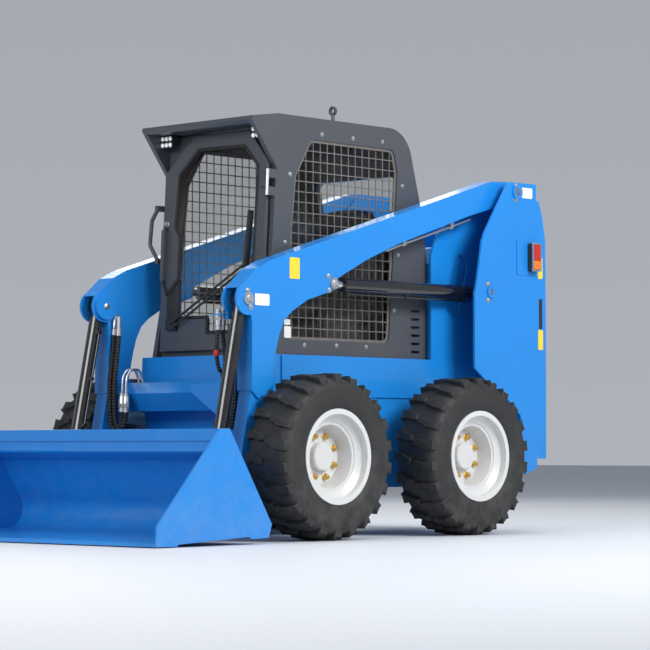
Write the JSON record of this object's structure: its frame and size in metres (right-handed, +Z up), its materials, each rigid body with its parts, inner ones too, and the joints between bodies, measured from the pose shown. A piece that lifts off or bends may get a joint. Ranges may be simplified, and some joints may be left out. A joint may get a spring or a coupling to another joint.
{
  "type": "mini loader",
  "caption": "Compact wheeled skid steer loader with a closed grey cab, blue lift arms, a wide bucket and white wheel rims.",
  "frame": {"origin": "on the ground under the middle of the bounding box", "axes": "+X to the machine's left, +Y to its rear, +Z up"},
  "size_m": [1.65, 3, 2.1053],
  "materials": {
    "blue_paint": "gloss",
    "cab_paint": "satin",
    "black_paint": "gloss",
    "white_paint": "gloss",
    "rod_chrome": "polished",
    "zinc_steel": "brushed",
    "black_plastic": "matte",
    "lamp_plastic": "gloss",
    "pane_glass": "clear",
    "tyre_rubber": "matte",
    "engine_iron": "rough",
    "seat_cover": "matte"
  },
  "bodies": {
    "root": {"chassis_tub": "blue_paint", "tower_left": "blue_paint", "tower_right": "blue_paint", "hood": "blue_paint", "engine_block": "engine_iron", "tail_lamps": "lamp_plastic", "cab_side_left": "cab_paint", "cab_side_right": "cab_paint", "cab_roof": "cab_paint", "cab_rear": "cab_paint", "cab_front": "cab_paint", "windows": "pane_glass", "side_guards": "zinc_steel", "seat": "seat_cover", "control_levers": "black_plastic", "work_lamps": "black_plastic"},
    "boom": {"arm_left": "blue_paint", "arm_right": "blue_paint", "cross_beam": "blue_paint", "arm_pipes": "zinc_steel", "aux_hoses": "black_plastic"},
    "bucket": {"bucket_shell": "blue_paint", "cutting_edge": "blue_paint", "coupler": "blue_paint"},
    "door": {"door_frame": "cab_paint", "door_glass": "pane_glass", "wiper": "black_plastic"},
    "tailgate_leaf": {"tailgate": "blue_paint"},
    "front_left_wheel": {"wheel_front_left": "white_paint", "tyre_front_left": "tyre_rubber"},
    "front_right_wheel": {"wheel_front_right": "white_paint", "tyre_front_right": "tyre_rubber"},
    "rear_left_wheel": {"wheel_rear_left": "white_paint", "tyre_rear_left": "tyre_rubber"},
    "rear_right_wheel": {"wheel_rear_right": "white_paint", "tyre_rear_right": "tyre_rubber"},
    "lift_tube_left": {"lift_barrel_left": "black_paint"},
    "lift_ram_left": {"lift_rod_left": "rod_chrome"},
    "tilt_tube_left": {"tilt_barrel_left": "black_paint"},
    "tilt_ram_left": {"tilt_rod_left": "rod_chrome"},
    "lift_tube_right": {"lift_barrel_right": "black_paint"},
    "lift_ram_right": {"lift_rod_right": "rod_chrome"},
    "tilt_tube_right": {"tilt_barrel_right": "black_paint"},
    "tilt_ram_right": {"tilt_rod_right": "rod_chrome"}
  },
  "joints": [
    {"name": "front_left_axle", "type": "hinge", "parent": "root", "child": "front_left_wheel", "pos_m": [0.681, -0.3245, 0.387], "axis": [1, 0, 0], "continuous": true},
    {"name": "front_right_axle", "type": "hinge", "parent": "root", "child": "front_right_wheel", "pos_m": [-0.681, -0.3245, 0.387], "axis": [1, 0, 0], "continuous": true},
    {"name": "rear_left_axle", "type": "hinge", "parent": "root", "child": "rear_left_wheel", "pos_m": [0.681, 0.7025, 0.387], "axis": [1, 0, 0], "continuous": true},
    {"name": "rear_right_axle", "type": "hinge", "parent": "root", "child": "rear_right_wheel", "pos_m": [-0.681, 0.7025, 0.387], "axis": [1, 0, 0], "continuous": true},
    {"name": "boom_lift", "type": "hinge", "parent": "root", "child": "boom", "pos_m": [0, 1.246, 1.74], "axis": [-1, 0, 0], "range_deg": [0, 65]},
    {"name": "bucket_tilt", "type": "hinge", "parent": "boom", "child": "bucket", "pos_m": [0, -0.711, 0.15], "axis": [1, 0, 0], "range_deg": [-25, 98]},
    {"name": "cab_door", "type": "hinge", "parent": "root", "child": "door", "pos_m": [0.366, -0.36798, 1.39951], "axis": [0, -0.0523, -0.9986], "range_deg": [-85, 0]},
    {"name": "rear_gate", "type": "hinge", "parent": "root", "child": "tailgate_leaf", "pos_m": [-0.598, 1.418, 1], "axis": [0, 0, 1], "range_deg": [0, 100]},
    {"name": "lift_swing_left", "type": "hinge", "parent": "root", "child": "lift_tube_left", "pos_m": [0.489, 1.031, 1.215], "axis": [-1, 0, 0], "range_deg": [0, 61.5]},
    {"name": "lift_slide_left", "type": "slide", "parent": "lift_tube_left", "child": "lift_ram_left", "axis": [0, -1, -0.0036], "range_m": [0, 0.604]},
    {"name": "tilt_swing_left", "type": "hinge", "parent": "boom", "child": "tilt_tube_left", "pos_m": [0.489, -0.655, 1.114], "axis": [-1, 0, 0], "range_deg": [-0.8, 3]},
    {"name": "tilt_slide_left", "type": "slide", "parent": "tilt_tube_left", "child": "tilt_ram_left", "axis": [0, -0.2061, -0.9785], "range_m": [-0.081, 0.315]},
    {"name": "lift_swing_right", "type": "hinge", "parent": "root", "child": "lift_tube_right", "pos_m": [-0.489, 1.031, 1.215], "axis": [-1, 0, 0], "range_deg": [0, 61.5]},
    {"name": "lift_slide_right", "type": "slide", "parent": "lift_tube_right", "child": "lift_ram_right", "axis": [0, -1, -0.0036], "range_m": [0, 0.604]},
    {"name": "tilt_swing_right", "type": "hinge", "parent": "boom", "child": "tilt_tube_right", "pos_m": [-0.489, -0.655, 1.114], "axis": [-1, 0, 0], "range_deg": [-0.8, 3]},
    {"name": "tilt_slide_right", "type": "slide", "parent": "tilt_tube_right", "child": "tilt_ram_right", "axis": [0, -0.2061, -0.9785], "range_m": [-0.081, 0.315]}
  ],
  "couplings": [
    {"joint": "lift_swing_left", "follows": "boom_lift", "ratio": 0.9454},
    {"joint": "lift_slide_left", "follows": "boom_lift", "m_per_rad": 0.5321},
    {"joint": "tilt_swing_left", "follows": "bucket_tilt", "ratio": 0.03},
    {"joint": "tilt_slide_left", "follows": "bucket_tilt", "m_per_rad": 0.18335},
    {"joint": "lift_swing_right", "follows": "boom_lift", "ratio": 0.9454},
    {"joint": "lift_slide_right", "follows": "boom_lift", "m_per_rad": 0.5321},
    {"joint": "tilt_swing_right", "follows": "bucket_tilt", "ratio": 0.03},
    {"joint": "tilt_slide_right", "follows": "bucket_tilt", "m_per_rad": 0.18335}
  ]
}
